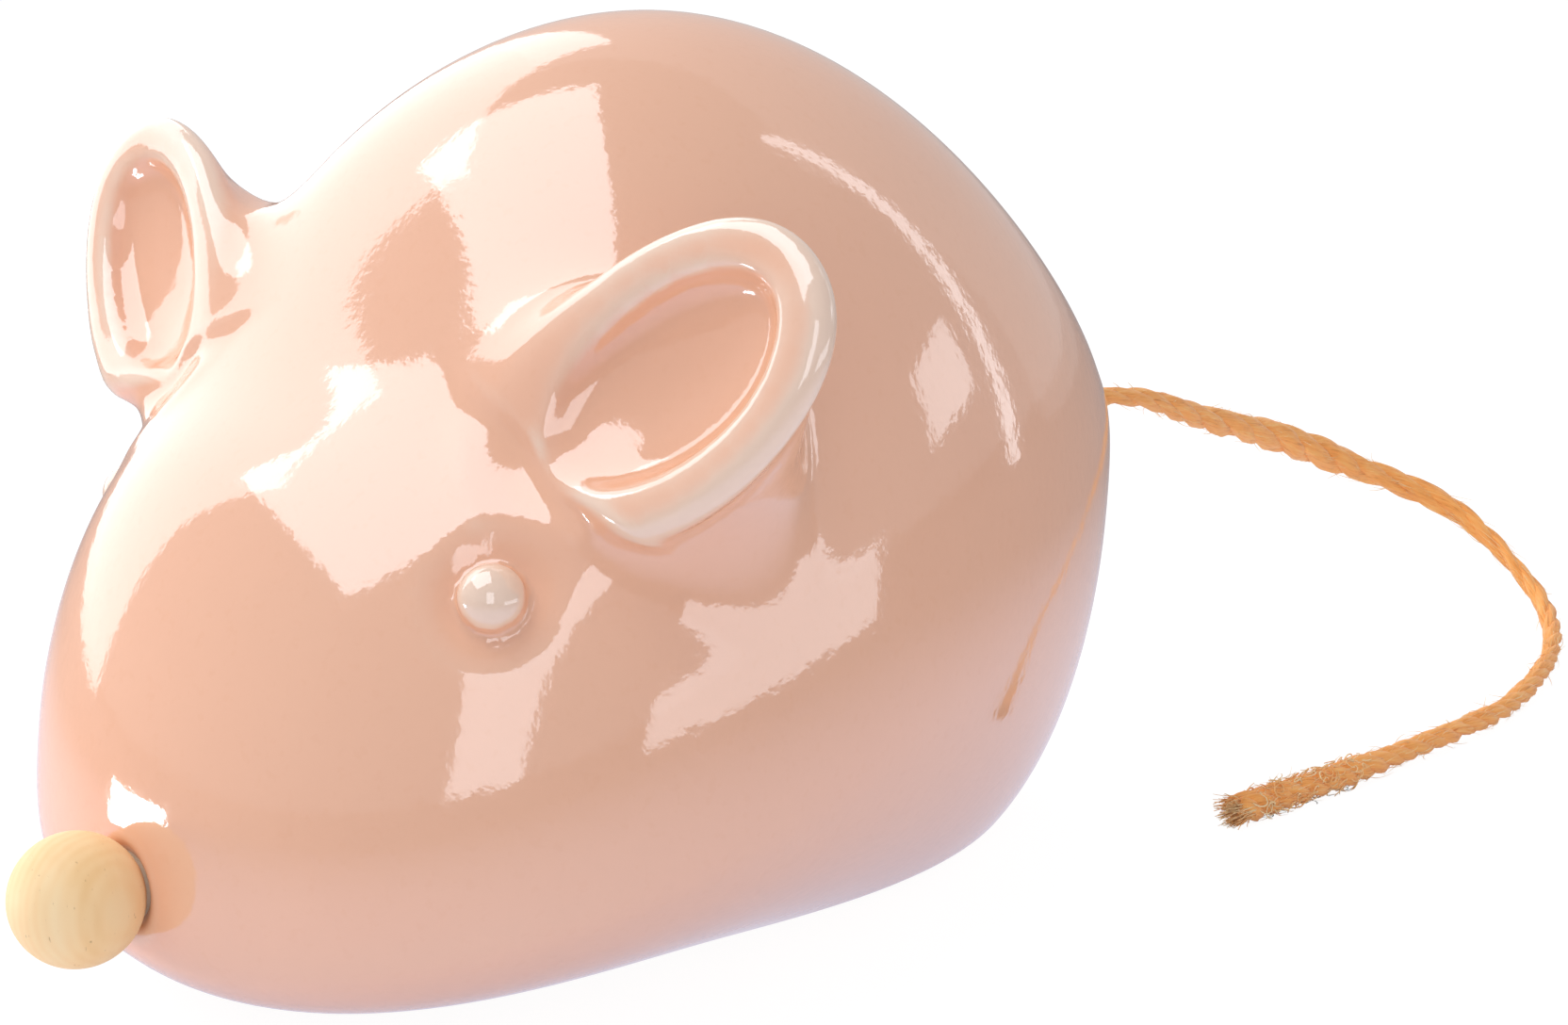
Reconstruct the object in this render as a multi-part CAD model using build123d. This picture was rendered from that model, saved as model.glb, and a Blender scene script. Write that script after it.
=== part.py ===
from build123d import *
import os
from math import acos, comb, copysign, cos, exp, pi, radians, sin, tan

# A hollow glazed ceramic mouse with cupped ears, bead eyes, a wooden ball nose and a jute tail.
# Lengths are in mm. The nose points to -Y, the left ear is on +X, and the table is z = 0.

# Body: a slip-cast egg, cut flat to stand, in sections square to its length
body_length = 151.2
body_width = 105.0
body_height = 108.1
wall = 4.5
base_edge_radius = 2.5
vent_radius = 6.0
# How full the egg is from snout to rump: flank as shares of half the width, the rest of the height
flank_shares = (1.290, 1.004, 0.901, 0.759)
middle_shares = (0.149, 0.314, 0.404, 0.469)
crown_shares = (0.602, 0.751, 0.691, 0.308)
belly_shares = (0.330, 0.253, 0.401, 0.890)
# The brow: a dip across the head in front of the ears, where the top of a section is squarer
brow_dip_share = 0.186
brow_station_share = 0.183
brow_reach_share = 0.087
brow_square_share = 0.298
end_share = 0.0001
sections = 25
section_points = 24

# Nose: a turned wooden ball in a shallow dish, on a film of glue
ball_radius = 7.5
ball_sunk = 2.1
ball_lift = 0.65
glue_film = 0.4
glue_radius = 4.0

# Eyes: clay beads set by hand in wide dimples, the right one lower and deeper
eye_radius = 3.7
dimple_radius = 10.0
dimple_depth = 1.6
left_eye_station_share = 0.1574
left_eye_angle = 39.6
left_eye_sunk = 0.5
right_eye_station_share = 0.18
right_eye_angle = 32.0
right_eye_sunk = 2.4

# Ears: cups with a thick rolled rim on the sides of the crown, that lean out from the head
ear_half_length = 22.3
ear_half_width = 14.7
ear_rim = 6.4
ear_dish_depth = 6.6
ear_dish_edge = 1.4
ear_dish_tilt = 8.0
ear_station_share = 0.2804
ear_angle = 40.65
ear_stand_out = 10.0
ear_turn = 7.6
ear_lean = 18.4
ear_roll = 40.5
ear_root_station_share = 0.3232
ear_root_angle = 30.66
ear_root_sunk = 12.63
# The neck behind the rim: how far each ring is toward the root, and its half length and half width
neck_shares = (0.0, 0.45, 1.0)
neck_half_lengths = (19.1, 18.4, 15.1)
neck_half_widths = (11.5, 12.4, 12.6)

# Tail: jute twine, knotted inside, through a hole in the rump
cord_radius = 1.9
cord_clearance = 0.2
knot_radius = 6.0
knot_bite = 1.0

# How far a cutting tool runs past what it cuts
overrun = 10.0


def share_at(table, s):
    last = len(table) - 1
    return sum(t * comb(last, i) * s**i * (1 - s) ** (last - i) for i, t in enumerate(table))


overall_length = body_length + 2 * ball_radius - ball_sunk
snout_y = 2 * ball_radius - ball_sunk - overall_length / 2
rump_y = snout_y + body_length


def skin(s, angle, inset=0.0):
    """A point of the egg: s runs from snout to rump, and angle turns from the left side up."""
    swell = sin(acos(1 - 2 * s))
    across, up = cos(radians(angle)), sin(radians(angle))
    half_width = (body_width / 2 - inset) * swell * share_at(flank_shares, s)
    height = (body_height - 2 * inset) * swell
    power = 1.0
    if up >= 0:
        brow = exp(-(((s - brow_station_share) / brow_reach_share) ** 2))
        height *= share_at(crown_shares, s) * (1 - brow_dip_share * brow)
        power = 1 / (1 + brow_square_share * brow / 2)
    else:
        height *= share_at(belly_shares, s)
    x = half_width * copysign(abs(across) ** power, across)
    y = snout_y + inset + (body_length - 2 * inset) * s
    z = body_height * share_at(middle_shares, s) + height * copysign(abs(up) ** power, up)
    return Vector(x, y, z)


def outward(s, angle):
    """The way that the egg's surface faces at a point."""
    step_share = 0.005
    along = skin(s + step_share, angle) - skin(s - step_share, angle)
    around = skin(s, angle + 1) - skin(s, angle - 1)
    return along.cross(around).normalized()


def egg(inset=0.0):
    """The egg as a loft through closed sections, before it is cut flat."""
    first = acos(1 - 2 * end_share)
    rings = []
    for i in range(sections):
        s = (1 - cos(first + (pi - 2 * first) * i / (sections - 1))) / 2
        turns = [360 * k / section_points - 90 for k in range(section_points)]
        ring = Edge.make_spline([skin(s, turn, inset) for turn in turns], periodic=True)
        rings.append(Face(Wire([ring])))
    return loft(rings)


def above(solid, level):
    """What a solid has above a level."""
    slab_height = body_height + overrun
    base = (Align.CENTER, Align.CENTER, Align.MIN)
    slab = Box(2 * body_width, 2 * overall_length, slab_height, align=base)
    return solid & (Pos(0, 0, level) * slab)


def along_y(radius, start, end, z):
    """A round bar along Y at a height."""
    bar = Cylinder(radius, end - start, align=(Align.CENTER, Align.CENTER, Align.MIN))
    return Plane((0, start, z), x_dir=(1, 0, 0), z_dir=(0, 1, 0)).location * bar


# The egg is cut flat, and its foot is rounded
whole = above(egg(), 0)
foot = [edge for edge in whole.edges() if edge.bounding_box().max.Z < wall / 100]
whole = fillet(foot, base_edge_radius)
cavity = above(egg(wall), wall)

# A dimple and a bead for each eye
def eye_place(station, angle, out):
    """A frame on the left side that faces out of the egg, a way out from its surface."""
    face = outward(station, angle)
    return Plane(skin(station, angle) + face * out, z_dir=face).location


left_eye_at = left_eye_station_share, left_eye_angle
right_eye_at = right_eye_station_share, right_eye_angle
left_dimple = eye_place(*left_eye_at, dimple_radius - dimple_depth) * Sphere(dimple_radius)
right_dimple = eye_place(*right_eye_at, dimple_radius - dimple_depth) * Sphere(dimple_radius)
whole = whole - left_dimple - mirror(right_dimple, Plane.YZ)
eye_left = eye_place(*left_eye_at, -left_eye_sunk) * Sphere(eye_radius) - whole
eye_right = mirror(eye_place(*right_eye_at, -right_eye_sunk) * Sphere(eye_radius), Plane.YZ) - whole

# The left ear: its frame stands out from the crown, and its root is inside the head
ear_centre = skin(ear_station_share, ear_angle) + outward(ear_station_share, ear_angle) * ear_stand_out
ear_root = skin(ear_root_station_share, ear_root_angle)
ear_root = ear_root - outward(ear_root_station_share, ear_root_angle) * ear_root_sunk
turn, lean = radians(ear_turn), radians(ear_lean)
ear_face = Vector(cos(lean) * sin(turn), -cos(lean) * cos(turn), sin(lean))
level = Vector(cos(turn), sin(turn), 0)
ear_line = level * cos(radians(ear_roll)) + ear_face.cross(level) * sin(radians(ear_roll))


def ear_ring(centre, half_length, half_width):
    return Plane(centre, x_dir=ear_line, z_dir=ear_face).location * Ellipse(half_length, half_width)


# The neck runs from the rim to the root, and a bead rolls round the rim
rings = []
for share, half_length, half_width in zip(neck_shares, neck_half_lengths, neck_half_widths):
    rings.append(ear_ring(ear_centre + (ear_root - ear_centre) * share, half_length, half_width))
neck = loft(rings)
crest = ear_ring(ear_centre, ear_half_length - ear_rim / 2, ear_half_width - ear_rim / 2).edge()
roll = sweep(Plane(crest @ 0, z_dir=crest % 0) * Circle(ear_rim / 2), path=crest)

# The cup is spoon-shaped: it tips to be deepest near the tip of the ear
spoon_line = ear_line * cos(radians(ear_dish_tilt)) - ear_face * sin(radians(ear_dish_tilt))
spoon_face = ear_face * cos(radians(ear_dish_tilt)) + ear_line * sin(radians(ear_dish_tilt))
spoon_half_length = ear_half_length - ear_rim / 2 - ear_dish_edge
spoon_half_width = ear_half_width - ear_rim / 2 - ear_dish_edge
spoon = scale(Sphere(1), by=(spoon_half_length, spoon_half_width, ear_dish_depth))
spoon = Plane(ear_centre, x_dir=spoon_line, z_dir=spoon_face).location * spoon
ear_left = neck - spoon + roll - whole

# The nose ball, its dish and the glue between them
ball_centre = (0, snout_y + ball_sunk - ball_radius, body_height * middle_shares[0] + ball_lift)
nose_ball = Pos(*ball_centre) * Sphere(ball_radius)
nose_dish = Pos(*ball_centre) * Sphere(ball_radius + glue_film)
glue_bar = along_y(glue_radius, ball_centre[1], snout_y + overrun, ball_centre[2])
nose_glue = nose_dish & glue_bar & whole
nose_glue = nose_glue - nose_ball

# The hollow shell with its tail hole and the vent in the foot
tail_z = body_height * middle_shares[-1]
tail_hole = along_y(cord_radius + cord_clearance, rump_y - wall - overrun, rump_y + overrun, tail_z)
vent = Pos(0, 0, wall / 2) * Cylinder(vent_radius, wall + overrun)
shell = whole - cavity - nose_dish - tail_hole - vent

# The knot is drawn up against the inner wall, and the twine runs out of it
knot_y = rump_y - wall - knot_radius + knot_bite
bore = along_y(cord_radius + cord_clearance / 4, knot_y, rump_y, tail_z)
knot = ((Pos(0, knot_y, tail_z) * Sphere(knot_radius)) & cavity) - bore

# The tail's route, from the knot to the cut end on the table
route = [
    (0, knot_y, tail_z),
    (0, 97, tail_z),
    (-7.5, 127, 41),
    (-13.5, 158, 32),
    (-12.5, 175.5, 24.7),
    (-9.5, 185.5, 21),
    (-1, 193.5, 15.2),
    (19, 190.5, 2),
    (37.5, 151, 2),
    (39.8, 124, 2),
    (40.7, 95, 2),
    (39.9, 78.2, 2),
]
points = [Vector(*p) for p in route]
runs = [b - a for a, b in zip(points, points[1:])]
radii = []
for one, two in zip(runs, runs[1:]):
    bend = radians(one.get_angle(two))
    radii.append(0.45 * min(one.length, two.length) / tan(bend / 2))
path = FilletPolyline(*points, radius=radii)
tail = sweep(Plane(path @ 0, z_dir=path % 0) * Circle(cord_radius), path=path)
print("tail radii", [round(r, 1) for r in radii], "runs", [round(r.length, 1) for r in runs])
print("tail length", round(path.length, 1), "volume share", tail.volume / (pi * cord_radius**2 * path.length))

pieces = {
    "body_shell": shell,
    "ear_left": ear_left,
    "ear_right": mirror(ear_left, Plane.YZ),
    "eye_left": eye_left,
    "eye_right": eye_right,
    "nose_ball": nose_ball,
    "nose_glue": nose_glue,
    "tail_knot": knot,
    "tail_cord": tail,
}
os.makedirs("parts", exist_ok=True)
for name, piece in pieces.items():
    export_step(piece, f"parts/{name}.step")
    print(name, len(piece.solids()), round(piece.volume, 1))
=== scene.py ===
from math import comb, cos, pi, radians, sin, tau

import bmesh
import bpy
import numpy as np
from mathutils import Matrix, Vector


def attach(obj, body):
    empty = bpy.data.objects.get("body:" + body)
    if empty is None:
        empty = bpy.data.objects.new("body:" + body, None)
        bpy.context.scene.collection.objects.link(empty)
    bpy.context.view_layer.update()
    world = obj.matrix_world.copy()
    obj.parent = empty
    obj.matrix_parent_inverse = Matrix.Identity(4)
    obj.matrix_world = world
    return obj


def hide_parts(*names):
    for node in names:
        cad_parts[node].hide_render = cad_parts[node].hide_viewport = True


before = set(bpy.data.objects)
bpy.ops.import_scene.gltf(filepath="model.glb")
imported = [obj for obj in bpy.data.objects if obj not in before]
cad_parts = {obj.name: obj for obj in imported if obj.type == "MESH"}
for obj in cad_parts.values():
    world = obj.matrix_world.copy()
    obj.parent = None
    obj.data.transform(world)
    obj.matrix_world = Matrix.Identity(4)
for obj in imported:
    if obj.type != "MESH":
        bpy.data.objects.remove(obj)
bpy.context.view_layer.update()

# Camera: the mouse is photographed from its left front and a little from above, some 40 cm away,
# through a 75 mm lens that is held about a degree off level.
camera_place = Vector((0.29114, -0.25452, 0.14311))
round_left, look_down, off_level = radians(45.426), radians(13.791), radians(0.865)
away = Vector((sin(round_left), -cos(round_left), 0)) * cos(look_down) + Vector((0, 0, sin(look_down)))
across = Vector((cos(round_left), sin(round_left), 0))
camera = bpy.data.objects.new("camera", bpy.data.cameras.new("camera"))
camera.data.lens = 74.96
camera.data.sensor_width = 36
camera.data.clip_start = 0.01
axes = Matrix((across, away.cross(across), away)).transposed().to_4x4()
camera.matrix_world = Matrix.Translation(camera_place) @ axes @ Matrix.Rotation(off_level, 4, "Z")
bpy.context.collection.objects.link(camera)
bpy.context.scene.camera = camera
bpy.context.scene.view_settings.view_transform = "Standard"

# Tail: a length of soft jute twine, three loosely twisted strands. It is knotted inside the body,
# comes out through a hole in the rump, droops to the table, curls round and ends in a cut.
mm = 0.001
tail_route = [
    (0, 72.55, 50.7),
    (0, 97, 50.7),
    (-7.5, 127, 41),
    (-13.5, 158, 32),
    (-12.5, 175.5, 24.7),
    (-9.5, 185.5, 21),
    (-1, 193.5, 15.2),
    (19, 190.5, 2),
    (37.5, 151, 2),
    (39.8, 124, 2),
    (40.7, 95, 2),
    (39.9, 78.2, 2),
]
# How far back the twine's curl may reach, and how near to the table a strand or a fibre may lie
curl_back_y, strand_lowest, fibre_lowest = 194.7, 0.05, 0.03


def lay_line(points):
    """The places along a smooth line through the bends of a length of twine."""
    spline_data = bpy.data.curves.new("tail_line", "CURVE")
    spline_data.dimensions = "3D"
    spline = spline_data.splines.new("NURBS")
    spline.points.add(len(points) - 1)
    for control, point in zip(spline.points, points):
        control.co = (*point, 1)
    spline.order_u = 3
    spline.use_endpoint_u = True
    spline.resolution_u = 24
    guide = bpy.data.objects.new("tail_line", spline_data)
    bpy.context.collection.objects.link(guide)
    bpy.context.view_layer.update()
    line = bpy.data.meshes.new_from_object(guide)
    places = np.array([v.co for v in line.vertices])
    bpy.data.objects.remove(guide)
    return places


def even(places, gap):
    """The same line in steps of one length, with the distance along it."""
    run = np.r_[0, np.cumsum(np.linalg.norm(np.diff(places, axis=0), axis=1))]
    along = np.linspace(0, run[-1], int(run[-1] / gap) + 1)
    return np.stack([np.interp(along, run, places[:, i]) for i in range(3)], 1), along


def sides(places):
    """The way ahead at each point of a line and two ways across it, turned as little as can be."""
    ahead = np.gradient(places, axis=0)
    ahead /= np.linalg.norm(ahead, axis=1)[:, None]
    askew = (0.3, 0.2, 1.0)
    one = np.cross(ahead[0], askew)
    ones = []
    for way in ahead:
        one = one - way * (one @ way)
        one = one / np.linalg.norm(one)
        ones.append(one)
    ones = np.array(ones)
    return ahead, ones, np.cross(ahead, ones)


def wobble(along, seed, reach, share):
    """A slow, even-handed wander along a length, by up to a share either way."""
    dice = np.random.default_rng(seed)
    knots = np.arange(0, along[-1] + 2 * reach, reach)
    return share * np.interp(along, knots, dice.uniform(-1, 1, len(knots)))


def tube(places, radius, around):
    """Rings of points round a line, with the faces between them and one over each end."""
    _, one, two = sides(places)
    turn = np.arange(around) * tau / around
    radius = np.broadcast_to(radius, (len(places), around))
    ring = np.cos(turn)[None, :, None] * one[:, None] + np.sin(turn)[None, :, None] * two[:, None]
    points = (places[:, None] + ring * radius[..., None]).reshape(-1, 3)
    faces = []
    for i in range(len(places) - 1):
        for k in range(around):
            a, b = i * around + k, i * around + (k + 1) % around
            faces.append((a, b, b + around, a + around))
    last = (len(places) - 1) * around
    faces.append(tuple(range(around))[::-1])
    faces.append(tuple(last + k for k in range(around)))
    return points, faces


def hold(points, lowest):
    """Keeps points of the twine above the table and inside its curl."""
    points[:, 1] = np.minimum(points[:, 1], curl_back_y)
    points[:, 2] = np.maximum(points[:, 2], lowest)


def make_mesh(name, parts, lay):
    """One object out of several lists of points and faces, with each point's place in the twine."""
    points, faces, start = [], [], 0
    for part_points, part_faces in parts:
        points.append(part_points)
        faces += [tuple(start + i for i in face) for face in part_faces]
        start += len(part_points)
    mesh = bpy.data.meshes.new(name)
    mesh.from_pydata(np.concatenate(points) * mm, [], faces)
    mesh.shade_smooth()
    mesh.attributes.new("lay", "FLOAT_VECTOR", "POINT").data.foreach_set("vector", lay.ravel())
    piece = bpy.data.objects.new(name, mesh)
    bpy.context.collection.objects.link(piece)
    return piece


step_along = 0.8
line, along = even(lay_line(tail_route), step_along)
length = along[-1]
ahead, one, two = sides(line)
# Over what length each of these wanders, and by how much
fullness_wander, turn_wander, reach_wander, radius_wander = (6, 0.07), (12, 0.35), (8, 0.16), (4, 0.10)
# The twine is drawn tight in its hole, opens where it droops, and is firmer again on the table.
fullness_stations = (0, 10, 30, 60, 90, 118, 140, 185, 225, 250, length)
fullness_there = (0.58, 0.56, 0.66, 0.96, 1.22, 0.98, 0.74, 0.68, 0.76, 0.92, 1.10)
fullness = np.interp(along, fullness_stations, fullness_there)
fullness = fullness * (1 + wobble(along, 4, *fullness_wander))
pitch_stations, pitch_there = (0, 60, 110, 150, 210, length), (18, 27, 26, 16, 12, 10)
twist_pitch = np.interp(along, pitch_stations, pitch_there)
twist = np.cumsum(np.r_[0, np.diff(along)] / twist_pitch) * tau
strand_count, strand_sides = 3, 26
strand_reach, strand_radius = 0.78, 1.22
# Ridges on a strand: how many go round it, how they slant, how they shift from strand to strand
# and how high they are
ridge_kinds = ((5, 0.55, 1, 0.07), (9, -0.4, 2, 0.045))
fibre_slant, lay_apart = 0.18, 5
strands, lays, strand_lines = [], [], []
for k in range(strand_count):
    angle = twist + k * tau / strand_count + wobble(along, 20 + k, *turn_wander)
    reach = strand_reach * fullness * (1 + wobble(along, 30 + k, *reach_wander))
    offset = np.cos(angle)[:, None] * one + np.sin(angle)[:, None] * two
    middle = line + offset * reach[:, None]
    radius = strand_radius * fullness * (1 + wobble(along, 40 + k, *radius_wander))
    turn = np.arange(strand_sides) * tau / strand_sides
    ridges = sum(
        np.sin(number * turn[None] + along[:, None] * slant + shift * k) * height
        for number, slant, shift, height in ridge_kinds
    )
    points, faces = tube(middle, radius[:, None] * (1 + ridges), strand_sides)
    hold(points, strand_lowest)
    strands.append((points, faces))
    strand_lines.append((middle, radius))
    around = turn[None] + along[:, None] * fibre_slant
    lay = np.stack([np.broadcast_to(along[:, None], around.shape), np.cos(around), np.sin(around)], -1)
    lays.append(lay.reshape(-1, 3) + (0, lay_apart * k, 0))
tail = make_mesh("tail_twine", strands, np.concatenate(lays))


# Jute: a raw plant fibre that is spun into strands. It is golden brown, in darker and paler streaks
# that run along its fibres.
class Link:
    """An output in a material. Sums on links, and with numbers, become Math nodes."""

    def __init__(self, socket):
        self.socket = socket

    def reckon(self, operation, *values):
        return add(self.socket.id_data, "Math", {"operation": operation}, dict(enumerate(values)))

    def __add__(self, other):
        return self.reckon("ADD", self, other)

    __radd__ = __add__

    def __mul__(self, other):
        return self.reckon("MULTIPLY", self, other)

    __rmul__ = __mul__

    def __sub__(self, other):
        return self.reckon("SUBTRACT", self, other)

    def __rsub__(self, other):
        return self.reckon("SUBTRACT", other, self)


def add(tree, kind, settings=None, values=None, output=0):
    """One node: its settings are made first, then its sockets get their values or links."""
    node = tree.nodes.new("ShaderNode" + kind)
    for name, setting in (settings or {}).items():
        if name == "stops":
            ramp = node.color_ramp
            while len(ramp.elements) < len(setting):
                ramp.elements.new(0.5)
            for element, (place, colour) in zip(ramp.elements, setting):
                element.position = place
                element.color = (*colour, 1)
        else:
            setattr(node, name, setting)
    for name, value in (values or {}).items():
        if isinstance(value, Link):
            tree.links.new(value.socket, node.inputs[name])
        else:
            node.inputs[name].default_value = value
    return Link(node.outputs[output]) if len(node.outputs) else None


def new_finish(name):
    """A new material and its empty tree."""
    material = bpy.data.materials.new(name)
    material.use_nodes = True
    material.node_tree.nodes.clear()
    return material, material.node_tree


def noise(tree, place, scale, detail=2.0, roughness=0.5):
    values = {"Vector": place, "Scale": scale, "Detail": detail, "Roughness": roughness}
    return add(tree, "TexNoise", None, values)


def stretch(tree, place, scale, turned=(0.0, 0.0, 0.0)):
    """Places drawn out or pressed together, so that what is laid over them runs one way."""
    return add(tree, "Mapping", None, {"Vector": place, "Scale": scale, "Rotation": turned})


def mix(tree, factor, one_colour, other_colour):
    return add(tree, "Mix", {"data_type": "RGBA"}, {0: factor, 6: one_colour, 7: other_colour}, 2)


def band(tree, value, low, high):
    """How far a value has come from low to high, held between 0 and 1."""
    return add(tree, "MapRange", {"interpolation_type": "SMOOTHSTEP"}, {0: value, 1: low, 2: high})


def bumped(tree, strength, depth, height):
    return add(tree, "Bump", None, {"Strength": strength, "Distance": depth, "Height": height})


def surface(tree, values):
    """The shader of a finish, with its output."""
    add(tree, "OutputMaterial", None, {"Surface": add(tree, "BsdfPrincipled", None, values)})


jute, tree = new_finish("jute")
lay = add(tree, "Attribute", {"attribute_name": "lay"}, None, "Vector")
fibre = noise(tree, stretch(tree, lay, (0.35, 6.0, 6.0)), 1.0, 4.0, 0.6)
coarse = noise(tree, stretch(tree, lay, (0.12, 1.6, 1.6)), 1.0)
patches = noise(tree, add(tree, "NewGeometry"), 90.0)
tone = fibre * 0.65 + coarse * 0.35
jute_stops = [
    (0.30, (0.50, 0.17, 0.035)),
    (0.44, (0.95, 0.37, 0.08)),
    (0.58, (1.0, 0.49, 0.145)),
    (0.72, (1.0, 0.66, 0.30)),
]
colour = add(tree, "ValToRGB", {"stops": jute_stops}, {"Fac": tone})
colour = mix(tree, band(tree, patches, 0.35, 0.7) * 0.35, colour, (0.98, 0.46, 0.12, 1))
shader = {"Base Color": colour, "Roughness": 0.82, "Sheen Weight": 0.25}
shader["Normal"] = bumped(tree, 0.55, 0.00035, tone)
surface(tree, shader)
tail.data.materials.append(jute)

# Loose fibres: every twist of jute sheds fine hairs, most of them near the cut. The cut end opens
# into a short brush, and curly tufts stand up along the last stretch before it.
hair_count, brush_count, tuft_count = ((1100, 260, 240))
hair_crowding, hair_stretch, hair_from_end, hair_first = 2.2, 0.93, 8, 22
hair_reach, hair_lift, hair_sway, hair_radius = (1.5, 5.0), (0.2, 1.3), 0.5, (0.035, 0.075)
brush_reach, brush_flare, brush_sway, brush_radius = (2.2, 4.0), (0, 1.3), 0.25, (0.07, 0.13)
tuft_stretch, tuft_curl, tuft_round, tuft_size = 34, (2.5, 5.0), 0.45, (1.2, 2.8)
tuft_lift, tuft_radius = (0.3, 0.9), (0.09, 0.16)
hair_steps, brush_steps, tuft_steps = 8, 7, 9
# How thick a fibre is at its root, and how much of that it loses toward its tip
hair_taper, brush_taper, tuft_taper = (1.1, 0.8), (1.05, 0.6), (1.05, 0.5)
# How deep in its strand a fibre is rooted, as a share of the strand's radius
rooted = 0.9
dice = np.random.default_rng(7)
hairs, hair_lays = [], []


def hair(places, radius):
    points, faces = tube(places, radius, 3)
    hold(points, fibre_lowest)
    hairs.append((points, faces))
    hair_lays.append(np.tile(dice.uniform(0, 40, 3), (len(points), 1)))


def thinning(stem, taper):
    return taper[0] - taper[1] * stem


def out_at(step, turn):
    """A way out of the twine at one of its steps."""
    return np.cos(turn) * one[step] + np.sin(turn) * two[step]


for _ in range(hair_count):
    middle, radius = strand_lines[dice.integers(strand_count)]
    step = int(len(line) * (1 - dice.uniform() ** hair_crowding * hair_stretch)) - hair_from_end
    step = min(max(step, hair_first), len(line) - hair_from_end)
    out = out_at(step, dice.uniform(0, tau))
    stem = np.linspace(0, 1, hair_steps)[:, None]
    reach, lift = dice.uniform(*hair_reach), dice.uniform(*hair_lift)
    sway = dice.normal(0, hair_sway, 3)
    root = middle[step] + out * radius[step] * rooted
    places = root + ahead[step] * reach * stem * dice.choice((-1, 1)) + out * lift * stem * (1.6 - stem)
    places = places + sway * stem**2
    hair(places, dice.uniform(*hair_radius) * thinning(stem, hair_taper))
for _ in range(brush_count):
    middle, radius = strand_lines[dice.integers(strand_count)]
    stem = np.linspace(0, 1, brush_steps)[:, None]
    turn, spread = dice.uniform(0, tau), dice.uniform() ** 0.5
    out = out_at(-1, turn)
    root = middle[-3] + out * radius[-3] * spread
    places = root + ahead[-1] * stem * dice.uniform(*brush_reach)
    places = places + out * stem**2 * dice.uniform(*brush_flare) * spread
    places = places + dice.normal(0, brush_sway, 3) * stem**2
    hair(places, dice.uniform(*brush_radius) * thinning(stem, brush_taper))
for _ in range(tuft_count):
    step = dice.integers(len(line) - tuft_stretch, len(line) - 2)
    middle, radius = strand_lines[dice.integers(strand_count)]
    stem = np.linspace(0, 1, tuft_steps)[:, None]
    turn, curl = dice.uniform(0, tau), dice.uniform(*tuft_curl)
    out = out_at(step, turn)
    aside = np.cross(ahead[step], out)
    root = middle[step] + out * radius[step] * rooted
    coil = tuft_round * (np.sin(curl * stem) * aside + (1 - np.cos(curl * stem)) * ahead[step])
    places = root + coil * dice.choice((-1, 1)) * dice.uniform(*tuft_size)
    places = places + out * stem * dice.uniform(*tuft_lift)
    hair(places, dice.uniform(*tuft_radius) * thinning(stem, tuft_taper))
fibres = make_mesh("tail_fibres", hairs, np.concatenate(hair_lays))
# The loose hairs get a paler jute than the twine: painted light, a lighter copy of the jute that stands
# in for the light the fine hairs catch.
lighter_painted_jute, tree = new_finish("loose_jute_painted_lighter")
streaks = noise(tree, add(tree, "NewGeometry"), 300.0)
colour = mix(tree, band(tree, streaks, 0.35, 0.65), (1.0, 0.56, 0.20, 1), (1.0, 0.78, 0.44, 1))
surface(tree, {"Base Color": colour, "Roughness": 0.8, "Sheen Weight": 0.25})
fibres.data.materials.append(lighter_painted_jute)
for piece in (tail, fibres):
    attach(piece, "root")
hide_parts("tail_cord")

# Knot: the inner end of the same twine is tied in a round knot, and drawn up behind the hole so
# that the tail can't be pulled out.
knot_middle, knot_size, knot_depth = np.array((0, 72.3, 50.7)), 1.28, 1.1
knot_steps, knot_sides, knot_pitch = 96, 14, 15
knot_reach, knot_strand_radius = 0.72, 0.9
t = np.linspace(0, tau, knot_steps + 1)[:-1]
trefoil = np.sin(t) + 2 * np.sin(2 * t), -np.sin(3 * t) * knot_depth, np.cos(t) - 2 * np.cos(2 * t)
loops = np.stack(trefoil, 1)
loops = np.r_[loops, loops[:1]] * knot_size + knot_middle
loop_run = np.r_[0, np.cumsum(np.linalg.norm(np.diff(loops, axis=0), axis=1))]
_, knot_one, knot_two = sides(loops)
knot_parts, knot_lays = [], []
for k in range(strand_count):
    turn = loop_run / knot_pitch * tau + k * tau / strand_count
    offset = np.cos(turn)[:, None] * knot_one + np.sin(turn)[:, None] * knot_two
    knot_parts.append(tube(loops + knot_reach * offset, knot_strand_radius, knot_sides))
    around = np.arange(knot_sides) * tau / knot_sides
    lay = np.stack(np.broadcast_arrays(loop_run[:, None], np.cos(around)[None], np.sin(around)[None]), -1)
    knot_lays.append(lay.reshape(-1, 3))
knot = make_mesh("tail_knot_twine", knot_parts, np.concatenate(knot_lays))
knot.data.materials.append(jute)
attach(knot, "root")
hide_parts("tail_knot")

# Body: a hollow egg cast in slip, cut flat to stand, with a vent in its foot and a dip across its
# brow. The shares say how full it is from snout to rump.
body_length, body_width, body_height = 151.2, 105.0, 108.1
snout_y, wall = -69.15, 4.5
flank_shares = (1.290, 1.004, 0.901, 0.759)
middle_shares = (0.149, 0.314, 0.404, 0.469)
crown_shares = (0.602, 0.751, 0.691, 0.308)
belly_shares = (0.330, 0.253, 0.401, 0.890)
brow_dip, brow_place, brow_reach, brow_square = 0.186, 0.183, 0.087, 0.298
vent_radius, vent_top = 6.0, 20
hole_radius, hole_z, hole_start_y = 2.1, 50.7, 50
# The height over which the belly's curve passes into the crown's
flank_blend = 24
# How far past its ends the egg's curves are followed, as a share of its length
past_end = 0.02
tiny = 1e-7


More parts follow.
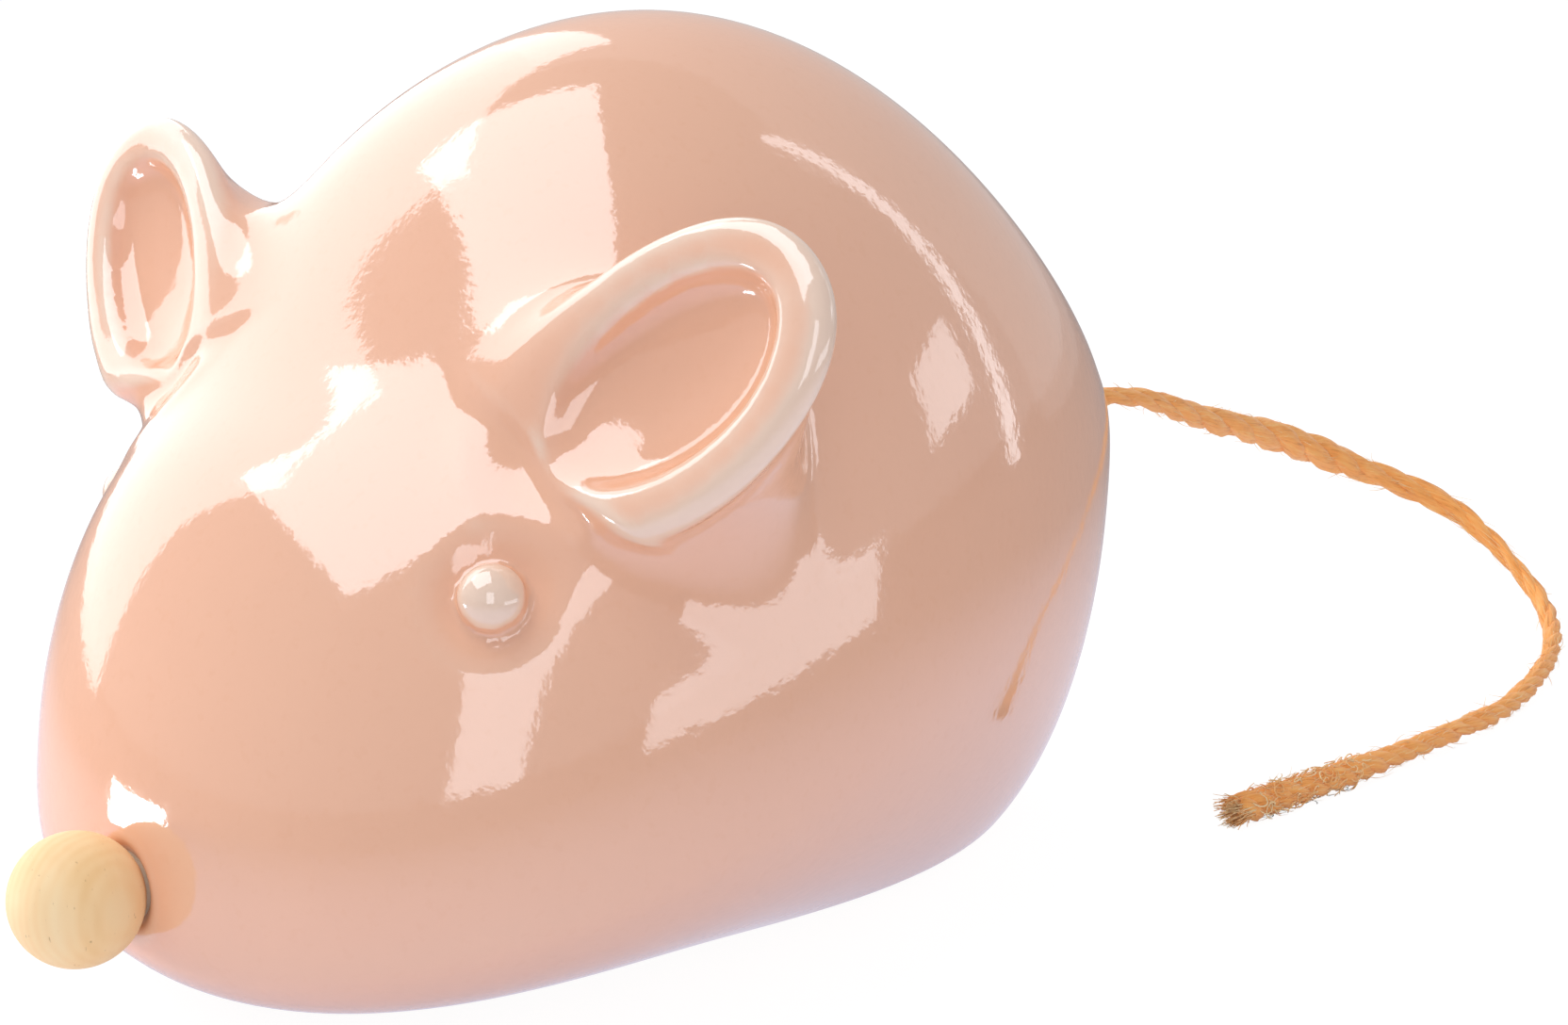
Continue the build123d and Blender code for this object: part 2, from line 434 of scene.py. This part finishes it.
def full(shares, s):
    return sum(v * comb(3, i) * s**i * (1 - s) ** (3 - i) for i, v in enumerate(shares))


def ease(t):
    """A value held between 0 and 1, and eased at both ends."""
    t = np.clip(t, 0, 1)
    return t * t * (3 - 2 * t)


def egg(x, y, z, inset=0.0):
    """Distance out from the cast egg, true near its surface. Inset gives the wall's inner face."""

    def level(x, y, z):
        s = (y - snout_y - inset) / (body_length - 2 * inset)
        held = np.clip(s, -past_end, 1 + past_end)
        half_width = (body_width / 2 - inset) * full(flank_shares, held)
        rise = z - body_height * full(middle_shares, held)
        up = ease(rise / flank_blend + 0.5)
        brow = np.exp(-(((held - brow_place) / brow_reach) ** 2))
        crown = full(crown_shares, held) * (1 - brow_dip * brow)
        tall = (body_height - 2 * inset) * (full(belly_shares, held) * (1 - up) + crown * up)
        power = 2 + brow_square * brow * up
        swell = 4 * s * (1 - s)
        swell = np.sign(swell) * abs(swell) ** (power / 2)
        return abs(x / half_width) ** power + abs(rise / tall) ** power - swell

    here, step = level(x, y, z), 0.05
    slope_x = (level(x + step, y, z) - here) / step
    slope_y = (level(x, y + step, z) - here) / step
    slope_z = (level(x, y, z + step) - here) / step
    return here / np.sqrt(slope_x**2 + slope_y**2 + slope_z**2 + tiny)


def join(one, other, reach):
    """Two forms luted together, with the seam filled and smoothed over."""
    near = np.maximum(reach - abs(one - other), 0) / reach
    return np.minimum(one, other) - near * near * reach / 4


def carve(one, other, reach):
    """A form with another cut out of it, and the edge softened."""
    return -join(-one, other, reach)


# Ears: thick-rimmed oval cups of the same clay, pinched to a neck behind and pressed on to the
# sides of the crown. The right one mirrors the left, which has a frame of its own: u runs along
# it to its tip, v across it and w out of its face.
ear_middle = np.array((46.51, -31.61, 75.54))
ear_root = np.array((33.85, -17.03, 60.67))
ear_face = np.array((0.12550, -0.94054, 0.31565))
ear_long = np.array((0.72661, 0.30377, 0.61625))
ear_short = np.array((-0.67549, 0.15202, 0.72153))
rim_long, rim_short, rim_round = 17.0, 9.9, 4.6
# The rim fades out toward the root: where it is gone, how that line slants, and over what length
fade_start, fade_slant, fade_over = 20, 0.4, 5.5
# The neck: its half length and half width at the rim, and how they change toward the root
neck_long, neck_short, neck_taper, neck_hook, neck_swell = 20.6, 13.0, 2.5, 3.0, 0.5
neck_sweep, neck_run, neck_edge, rim_seam = 1.25, 1.2, 2.0, 4.0
# The cup: its half lengths toward tip and root, half width, depth and the height of its mouth
cup_tip, cup_root, cup_half_width, cup_depth, cup_mouth = 18.0, 24.0, 10.6, 6.4, 3.0
# The cup gets shallower from here toward its root, by so much, over so long a stretch
cup_shallow_from, cup_shallower, cup_shallow_over = 1, 2.2, 18
# Past its end it closes, so that it doesn't cut the cheek
cup_end, cup_closing, cup_top = 18, 0.15, 9
# Its deepest place is pushed toward the tip and up, less so further out
cup_along, cup_along_reach, cup_up, cup_up_reach = 2.0, 12, 1.5, 7


def oval(u, v, long, short):
    """Distance out from an oval, in its plane."""
    steep = 2 * np.sqrt(u**2 / long**4 + v**2 / short**4)
    return ((u / long) ** 2 + (v / short) ** 2 - 1) / (steep + tiny)


def ear_places(x, y, z):
    """Places in the ear's own frame: along it, across it and out of its face."""
    off = np.stack([abs(x), y, z], -1) - ear_middle
    return off @ ear_long, off @ ear_short, off @ ear_face


def ear_outside(x, y, z):
    """Distance out from the ear with its rim and neck, before the cup is hollowed."""
    u, v, w = ear_places(x, y, z)
    root = ear_root - ear_middle
    depth = -(root @ ear_face)
    back = np.clip(-w / depth, 0, neck_run)
    long = neck_long - neck_taper * back - neck_hook * back**2
    short = neck_short + neck_swell * back
    lag = back**neck_sweep
    sides_of_it = oval(u - root @ ear_long * lag, v - root @ ear_short * lag, long, short)
    neck = carve(sides_of_it, -np.maximum(w, -w - depth), neck_edge)
    fading = ease((u + fade_slant * v + fade_start) / fade_over)
    rim = np.hypot(oval(u, v, rim_long, rim_short), w) - rim_round * fading
    return join(neck, rim, rim_seam)


def ear_cup(x, y, z):
    """A spoon: deepest toward the tip of the ear, and running out on the cheek at its root."""
    u, v, w = ear_places(x, y, z)
    low = ease(-(u + cup_shallow_from) / cup_shallow_over)
    closing = cup_closing * np.maximum(-u - cup_end, 0) ** 2
    u = u - cup_along * np.exp(-((u / cup_along_reach) ** 2))
    v = v - cup_up * np.exp(-((v / cup_up_reach) ** 2))
    long = np.where(u < 0, cup_root, cup_tip)
    inside_oval = (u / long) ** 2 + (v / cup_half_width) ** 2 - 1
    bowl = closing + cup_mouth + cup_shallower * low + cup_depth * inside_oval
    steep = np.sqrt(1 + 4 * cup_depth**2 * (u**2 / long**4 + v**2 / cup_half_width**4))
    return np.maximum((bowl - w) / steep, w - cup_top)


# Eyes: a small bead of clay on each side, set by hand in a hollow that a thumb has pressed. Each
# has its place on the egg, the way that it faces and how far out it stands.
left_eye = np.array((35.50, -45.35, 52.79)), np.array((0.5919, -0.6334, 0.4985)), -0.5
right_eye = np.array((-40.26, -41.93, 50.72)), np.array((-0.6901, -0.5882, 0.4215)), -2.4
bead_radius = 3.7
hollow_radius, hollow_depth = 11.0, 1.5


def ball(x, y, z, middle, radius):
    return np.sqrt((x - middle[0]) ** 2 + (y - middle[1]) ** 2 + (z - middle[2]) ** 2) - radius


# Skin: body, ears and eyes are luted together while the clay is soft, and the nose's dish, the
# foot, the vent and the tail's hole are cut. All of it is one form under one coat of glaze.
ball_place, ball_radius, glue_film = np.array((0, -74.55, 16.757)), 7.5, 0.4
# How far each seam is filled and each edge softened
ear_seam, cup_edge, hollow_edge, bead_seam = 8.0, 9.0, 2.5, 0.9
dish_edge, foot_edge, hole_edge = 0.9, 2.0, 1.0
block_low, block_high = np.array((-68, -72, -2.6)), np.array((68, 85, 112))
# Lets the skin down a little, so that its top lies just under the solid's
top_share = 0.9998


def clay(x, y, z):
    """Distance out from the whole mouse of clay."""
    form = join(egg(x, y, z), ear_outside(x, y, z), ear_seam)
    form = carve(form, ear_cup(x, y, z), cup_edge)
    for place, way, out in (left_eye, right_eye):
        hollow = place + way * (hollow_radius - hollow_depth)
        form = carve(form, ball(x, y, z, hollow, hollow_radius), hollow_edge)
        form = join(form, ball(x, y, z, place + way * out, bead_radius), bead_seam)
    form = carve(form, ball(x, y, z, ball_place, ball_radius + glue_film), dish_edge)
    form = carve(form, z, foot_edge)
    form = np.maximum(form, -np.maximum(egg(x, y, z, wall), wall - z))
    form = carve(form, np.maximum(np.hypot(x, y) - vent_radius, z - vent_top), hole_edge)
    hole = np.maximum(np.hypot(x, z - hole_z) - hole_radius, hole_start_y - y)
    return carve(form, hole, hole_edge)


def slopes(places):
    """How the clay's distance changes at each place, which is the way out of it."""
    step = 0.04
    found = []
    for i in range(3):
        move = np.zeros(3)
        move[i] = step
        found.append((clay(*(places + move).T) - clay(*(places - move).T)) / (2 * step))
    return np.stack(found, 1)


def settle(places, times):
    """Points drawn on to the clay's surface, none by more than a short move at a time."""
    least_slope, longest_move = 0.05, 0.8
    for _ in range(times):
        slope = slopes(places)
        gap = clay(*places.T)
        move = slope * (gap / np.maximum((slope**2).sum(1), least_slope))[:, None]
        reach = np.linalg.norm(move, axis=1)[:, None]
        places = places - move * np.minimum(1, longest_move / np.maximum(reach, 1e-9))
    return places


def wrap(cell):
    """A skin of four-sided faces round the clay, out of a block of cells."""
    counts = ((block_high - block_low) / cell).astype(int) + 1
    grid = [block_low[i] + cell * np.arange(counts[i]) for i in range(3)]
    x, y, z = np.meshgrid(*grid, indexing="ij")
    inside = clay(x.ravel(), y.ravel(), z.ravel()).reshape(x.shape) < 0
    total = sum(
        inside[i : i - 1 or None, j : j - 1 or None, k : k - 1 or None].astype(int)
        for i in (0, 1)
        for j in (0, 1)
        for k in (0, 1)
    )
    skin_cells = np.argwhere((total > 0) & (total < 8))
    number = np.full(np.array(inside.shape) - 1, -1)
    number[tuple(skin_cells.T)] = np.arange(len(skin_cells))
    faces = []
    for axis in range(3):
        change = np.argwhere(inside != np.roll(inside, -1, axis))
        change = change[change[:, axis] < inside.shape[axis] - 1]
        one_way, other_way = np.eye(3, dtype=int)[[(axis + 1) % 3, (axis + 2) % 3]]
        corners = [change - one_way - other_way, change - other_way, change, change - one_way]
        quad = np.stack([number[tuple(c.T)] for c in corners], 1)
        leaving = inside[tuple(change.T)]
        quad[~leaving] = quad[~leaving][:, ::-1]
        faces.append(quad)
    return block_low + cell * (skin_cells + 0.5), np.concatenate(faces)


def neighbours_of(edges, count):
    """A function that averages what each point's neighbours along the edges have."""
    both = np.concatenate([edges, edges[:, ::-1]])
    degree = np.bincount(both[:, 0], minlength=count)[:, None]

    def average(values):
        sums = [np.bincount(both[:, 0], values[both[:, 1], i], count) for i in range(values.shape[1])]
        return np.stack(sums, 1) / degree

    return average


def ways_out(places):
    out = slopes(places)
    return out / np.linalg.norm(out, axis=1)[:, None]


def even_out(places, edges, times):
    """Points slid along the clay until they lie evenly, and settled again."""
    average = neighbours_of(edges, len(places))
    slide_share = 0.6
    for _ in range(times):
        out = ways_out(places)
        slide = average(places) - places
        slide -= out * (slide * out).sum(1)[:, None]
        places = settle(places + slide_share * slide, 1)
    return places


def edges_of(mesh):
    edges = np.empty(len(mesh.edges) * 2, int)
    mesh.edges.foreach_get("vertices", edges)
    return edges.reshape(-1, 2)


cell = 1.35
points, faces = wrap(cell)
points = settle(points, 8)
mesh = bpy.data.meshes.new("mouse_body")
mesh.from_pydata(points, [], faces.tolist())
points = even_out(points, edges_of(mesh), 6)
mesh.vertices.foreach_set("co", points.ravel())
# The small forms are given four times the faces of the plain ones: the ears, the eyes, the dish
# and the tail's hole.
ear_half_block, eye_block, dish_block, hole_block, hole_block_y = (25, 17, 9), 8.5, 11, 6, 60
form = bmesh.new()
form.from_mesh(mesh)
middles = np.array([face.calc_center_median() for face in form.faces])
fine = (abs(np.stack(ear_places(*middles.T), 1)) < ear_half_block).all(1)
for place, _, _ in (left_eye, right_eye):
    fine |= ball(*middles.T, place, eye_block) < 0
fine |= ball(*middles.T, ball_place, dish_block) < 0
fine |= (np.hypot(middles[:, 0], middles[:, 2] - hole_z) < hole_block) & (middles[:, 1] > hole_block_y)
small_edges = {edge for face, is_fine in zip(form.faces, fine) if is_fine for edge in face.edges}
bmesh.ops.subdivide_edges(form, edges=list(small_edges), cuts=1, use_grid_fill=True)
form.to_mesh(mesh)
form.free()
points = np.empty(len(mesh.vertices) * 3)
mesh.vertices.foreach_get("co", points)
edges = edges_of(mesh)
points = even_out(settle(points.reshape(-1, 3), 3), edges, 6)
points = settle(points, 2)
# How the glaze has run: it gathers in hollows and thins over edges. The bend is taken twice,
# spread over a few neighbours and over many.
average = neighbours_of(edges, len(points))
gaps = np.linalg.norm(points[edges[:, 0]] - points[edges[:, 1]], axis=1)
gap_sums = np.bincount(np.r_[edges[:, 0], edges[:, 1]], np.tile(gaps, 2), len(points))
span = gap_sums / np.bincount(edges.ravel())
spread_bend = 4 * ((points - average(points)) * ways_out(points)).sum(1)[:, None] / span[:, None] ** 2
points[:, 2] = np.maximum(points[:, 2], 0) * top_share
mesh.vertices.foreach_set("co", (points * mm).ravel())
for name, times in (("edge_bend", 3), ("broad_bend", 12)):
    for _ in range(times):
        spread_bend = average(spread_bend)
    mesh.attributes.new(name, "FLOAT", "POINT").data.foreach_set("value", spread_bend[:, 0])
mesh.shade_smooth()
mesh.update()
body = bpy.data.objects.new("mouse_body", mesh)
bpy.context.collection.objects.link(body)
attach(body, "root")
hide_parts("body_shell", "ear_left", "ear_right", "eye_left", "eye_right")

# Glaze: a glossy peach pink with a pearl lustre fired over it. It runs pale and cream where it is
# thin, over rims and edges, and gathers in a warmer tone in the hollows.
glaze, tree = new_finish("pearl_glaze")
edge_bend = add(tree, "Attribute", {"attribute_name": "edge_bend"}, None, "Fac")
broad_bend = add(tree, "Attribute", {"attribute_name": "broad_bend"}, None, "Fac")
place = add(tree, "NewGeometry")
cloud = noise(tree, place, 22.0, 3.0)
speck = noise(tree, place, 700.0)
colour = mix(tree, cloud, (0.90, 0.48, 0.31, 1), (0.94, 0.54, 0.36, 1))
colour = mix(tree, band(tree, speck, 0.56, 0.72) * 0.12, colour, (0.86, 0.42, 0.25, 1))
colour = mix(tree, band(tree, edge_bend, 0.05, 0.45) * 0.7, colour, (0.93, 0.76, 0.62, 1))
colour = mix(tree, band(tree, -1 * broad_bend, -0.01, 0.12) * 0.25, colour, (0.92, 0.47, 0.27, 1))
shader = {"Base Color": colour, "Roughness": 0.055 + 0.03 * cloud}
shader["Normal"] = bumped(tree, 0.3, 0.0002, noise(tree, place, 60.0) + speck * 0.4)
shader.update({"IOR": 2.2, "Specular Tint": (0.88, 0.93, 1.0, 1)})
surface(tree, shader)
body.data.materials.append(glaze)

# Nose: a small turned ball of pale bare wood, sanded and left unfinished. A film of wood glue
# holds it in the dish in the snout.
wood, tree = new_finish("bare_wood")
place = add(tree, "NewGeometry")
grain = stretch(tree, place, (1.0, 1.0, 0.16), (0.5, 0.35, 0.0))
warp = noise(tree, grain, 180.0, 3.0)
waves = {"Vector": grain, "Scale": 260.0, "Distortion": 3.0}
rings = add(tree, "TexWave", {"wave_type": "BANDS", "bands_direction": "X"}, waves)
pore = noise(tree, stretch(tree, place, (1.0, 1.0, 0.3)), 2600.0)
tone = rings * 0.1 + warp * 0.9
wood_stops = [(0.25, (0.92, 0.60, 0.28)), (0.5, (0.98, 0.69, 0.37)), (0.75, (1.0, 0.76, 0.45))]
colour = add(tree, "ValToRGB", {"stops": wood_stops}, {"Fac": tone})
colour = mix(tree, band(tree, pore, 0.70, 0.76) * 0.5, colour, (0.42, 0.25, 0.11, 1))
bump = bumped(tree, 0.3, 0.0001, tone - band(tree, pore, 0.64, 0.74))
surface(tree, {"Base Color": colour, "Roughness": 0.55, "Normal": bump})
glue, tree = new_finish("dry_glue")
cloud = noise(tree, add(tree, "NewGeometry"), 900.0)
colour = mix(tree, cloud, (0.72, 0.66, 0.52, 1), (0.84, 0.80, 0.68, 1))
surface(tree, {"Base Color": colour, "Roughness": 0.35})
for node, finish in (("nose_ball", wood), ("nose_glue", glue)):
    for material_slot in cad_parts[node].material_slots:
        material_slot.material = finish

# Studio: a white table and backdrop, with large soft panels to the left, above and behind. Seen in
# the glaze, the table glows with a painted reflection, a cool white that dims away from the mouse.
half_table = 6
floor_mesh = bpy.data.meshes.new("floor")
corners = [(-1, -1), (1, -1), (1, 1), (-1, 1)]
floor_mesh.from_pydata([(half_table * x, half_table * y, 0) for x, y in corners], [], [(0, 1, 2, 3)])
floor = bpy.data.objects.new("floor", floor_mesh)
bpy.context.collection.objects.link(floor)
table, tree = new_finish("white_table")
seen = add(tree, "LightPath", output="Is Camera Ray")
mirrored = add(tree, "LightPath", output="Is Glossy Ray")
matt = add(tree, "BsdfDiffuse", None, {"Color": (0.88, 0.88, 0.92, 1)})
white = add(tree, "Emission", None, {"Color": (1, 1, 1, 1), "Strength": 1.1})
# Painted reflection: for glossy rays only, the table glows though it is no lamp, cool white near the
# mouse and dim further out.
from_mouse = add(tree, "VectorMath", {"operation": "LENGTH"}, {0: add(tree, "NewGeometry")}, "Value")
painted_reflection_tint = mix(tree, band(tree, from_mouse, 0.08, 0.30), (0.84, 0.84, 1.0, 1), (0.28, 0.27, 0.28, 1))
painted_reflection_glow = add(tree, "Emission", None, {"Color": painted_reflection_tint, "Strength": 0.95})
rest = add(tree, "MixShader", None, {0: mirrored * 0.9, 1: matt, 2: painted_reflection_glow})
shown = add(tree, "MixShader", None, {0: seen * 0.86, 1: rest, 2: white})
add(tree, "OutputMaterial", None, {"Surface": shown})
floor_mesh.materials.append(table)
world = bpy.data.worlds.new("studio")
world.use_nodes = True
world.node_tree.nodes.clear()
tree = world.node_tree
seen = add(tree, "LightPath", output="Is Camera Ray")
soft = add(tree, "Background", None, {"Color": (0.95, 0.96, 1.0, 1), "Strength": 0.46})
white = add(tree, "Background", None, {"Color": (1, 1, 1, 1), "Strength": 1.0})
add(tree, "OutputWorld", None, {"Surface": add(tree, "MixShader", None, {0: seen, 1: soft, 2: white})})
bpy.context.scene.world = world


def panel(name, turned, raised, away, wide, high, glow, tilt=0.0):
    """A soft panel that faces the mouse, turned from its nose toward its left ear and raised."""
    data = bpy.data.lights.new(name, "AREA")
    data.shape = "RECTANGLE"
    data.size, data.size_y = wide, high
    data.energy = pi * wide * high * glow
    light = bpy.data.objects.new(name, data)
    turned, raised = radians(turned), radians(raised)
    way = Vector((sin(turned) * cos(raised), -cos(turned) * cos(raised), sin(raised)))
    facing = way.to_track_quat("Z", "Y").to_matrix().to_4x4()
    middle = Vector((0, 0, 0.05)) + way * away
    light.matrix_world = Matrix.Translation(middle) @ facing @ Matrix.Rotation(radians(tilt), 4, "Z")
    bpy.context.collection.objects.link(light)
    light.visible_camera = False
    return light


panel("left_wall", -93, 20, 1.0, 1.05, 1.1, 1.65)
panel("overhead", -38, 62, 1.0, 1.0, 0.85, 2.2)
low_card = panel("low_card", -27, -9, 0.14, 0.036, 0.013, 11.0)
low_card.location.z = 0.012
panel("right_window", 109, -3, 0.34, 0.31, 0.06, 1.4)
panel("far_window", 155, 11, 1.0, 0.2, 0.16, 1.4, 8)
panel("edge_strip", 167, 26, 1.0, 0.05, 1.1, 1.8)
panel("behind", -154, 26, 1.0, 1.3, 1.2, 0.15)
panel("near_window", 45, 16, 0.9, 0.32, 0.56, 1.5)
